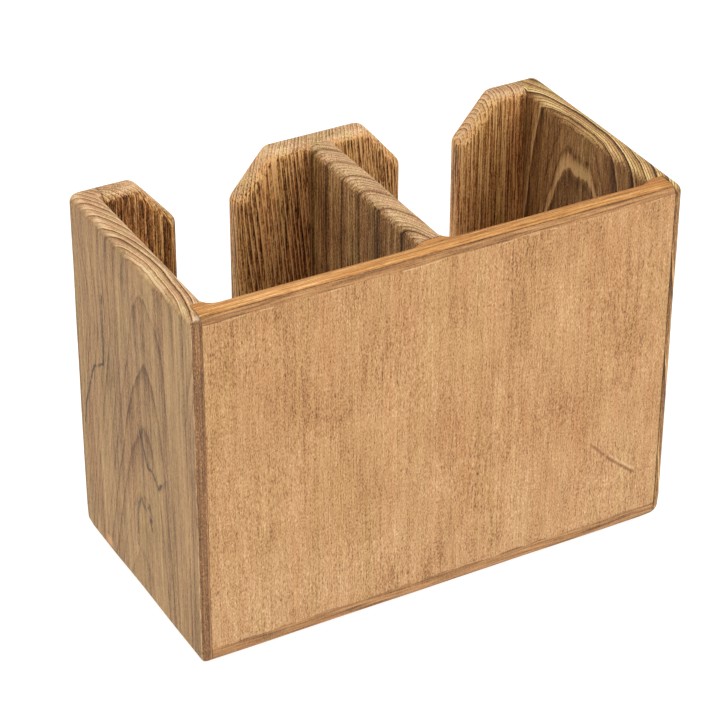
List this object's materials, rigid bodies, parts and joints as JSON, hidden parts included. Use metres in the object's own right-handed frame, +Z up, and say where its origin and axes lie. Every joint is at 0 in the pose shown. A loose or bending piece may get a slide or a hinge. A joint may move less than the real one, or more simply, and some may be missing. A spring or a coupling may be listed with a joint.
{
  "type": "magazine rack",
  "caption": "Open-topped box rack of glued teak boards with a divider, a plain panel along one long side, and tall slots between chamfered stiles along the other.",
  "frame": {"origin": "middle of the underside, on the surface that the rack stands on", "axes": "+X along the width, -Y towards the plain panel, +Y towards the slotted wall, +Z up to the open top"},
  "size_m": [0.24, 0.124, 0.1765],
  "materials": {
    "teak_left_side": "sanded bare teak, matt",
    "teak_right_side": "sanded bare teak, matt",
    "teak_divider": "sanded bare teak, matt",
    "teak_left_stile": "sanded bare teak, matt",
    "teak_centre_stile": "sanded bare teak, matt",
    "teak_right_stile": "sanded bare teak, matt",
    "teak_bottom": "sanded bare teak, matt",
    "ply_face": "sanded bare teak ply, matt",
    "ply_core": "sanded ply edge, matt",
    "ply_back": "sanded bare teak ply, matt"
  },
  "bodies": {
    "root": {"left_side": "teak_left_side", "right_side": "teak_right_side", "divider": "teak_divider", "left_stile": "teak_left_stile", "centre_stile": "teak_centre_stile", "right_stile": "teak_right_stile", "bottom_board": "teak_bottom", "panel_face_ply": "ply_face", "panel_core_ply": "ply_core", "panel_back_ply": "ply_back"}
  },
  "joints": []
}
